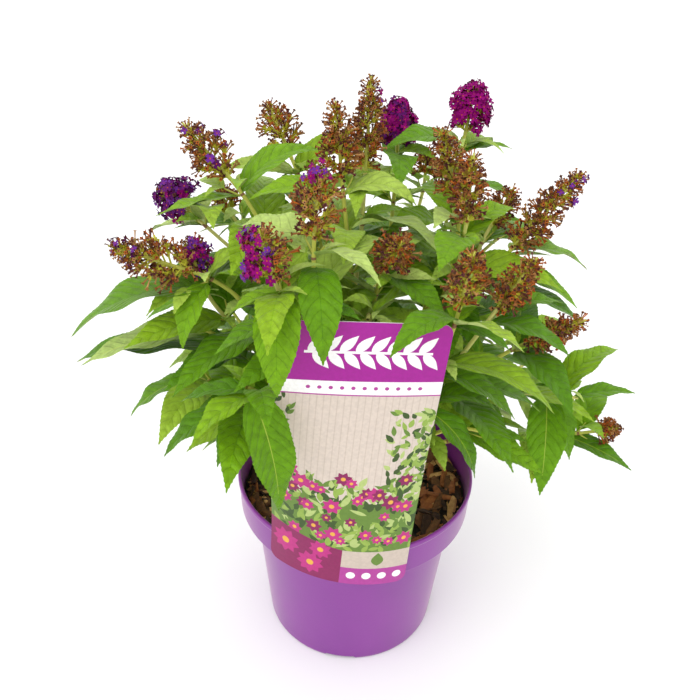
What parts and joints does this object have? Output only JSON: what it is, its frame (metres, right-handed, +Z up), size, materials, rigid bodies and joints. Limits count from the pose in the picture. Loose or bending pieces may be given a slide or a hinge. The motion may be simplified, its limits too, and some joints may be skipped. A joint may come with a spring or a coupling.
{
  "type": "potted dwarf butterfly bush",
  "caption": "Bushy flowering shrub in a round nursery pot, with lance-shaped leaves, cone-shaped flower spikes and a tall care card on the pot's front.",
  "frame": {"origin": "middle of the pot's flat underside", "axes": "+Z up; -Y is the front, where the care card hugs the pot; +X to the right of someone facing the front"},
  "size_m": [0.4048, 0.3254, 0.4577],
  "materials": {
    "pot_plastic": "satin",
    "bark_mulch": "rough",
    "printed_card": "semi-gloss",
    "stem_wood": "matte",
    "foliage": "satin"
  },
  "bodies": {
    "root": {"bark": "bark_mulch", "card": "printed_card", "foliage_back_high": "foliage", "foliage_back_left_high": "foliage", "foliage_back_left_low": "foliage", "foliage_back_low": "foliage", "foliage_back_right_high": "foliage", "foliage_back_right_low": "foliage", "foliage_front": "foliage", "foliage_front_left_low": "foliage", "foliage_front_middle": "foliage", "foliage_front_right": "foliage", "foliage_front_right_low": "foliage", "foliage_left": "foliage", "foliage_left_high": "foliage", "foliage_left_low": "foliage", "foliage_right": "foliage", "foliage_right_high": "foliage", "foliage_right_low": "foliage", "foliage_right_skirt": "foliage", "foliage_top": "foliage", "limb_back_high": "stem_wood", "limb_back_left_high": "stem_wood", "limb_back_left_low": "stem_wood", "limb_back_low": "stem_wood", "limb_back_right_high": "stem_wood", "limb_back_right_low": "stem_wood", "limb_front": "stem_wood", "limb_front_left_low": "stem_wood", "limb_front_middle": "stem_wood", "limb_front_right": "stem_wood", "limb_front_right_low": "stem_wood", "limb_left": "stem_wood", "limb_left_high": "stem_wood", "limb_left_low": "stem_wood", "limb_right": "stem_wood", "limb_right_high": "stem_wood", "limb_right_low": "stem_wood", "limb_right_skirt": "stem_wood", "limb_top": "stem_wood", "main_stem": "stem_wood", "pot": "pot_plastic"}
  },
  "joints": []
}
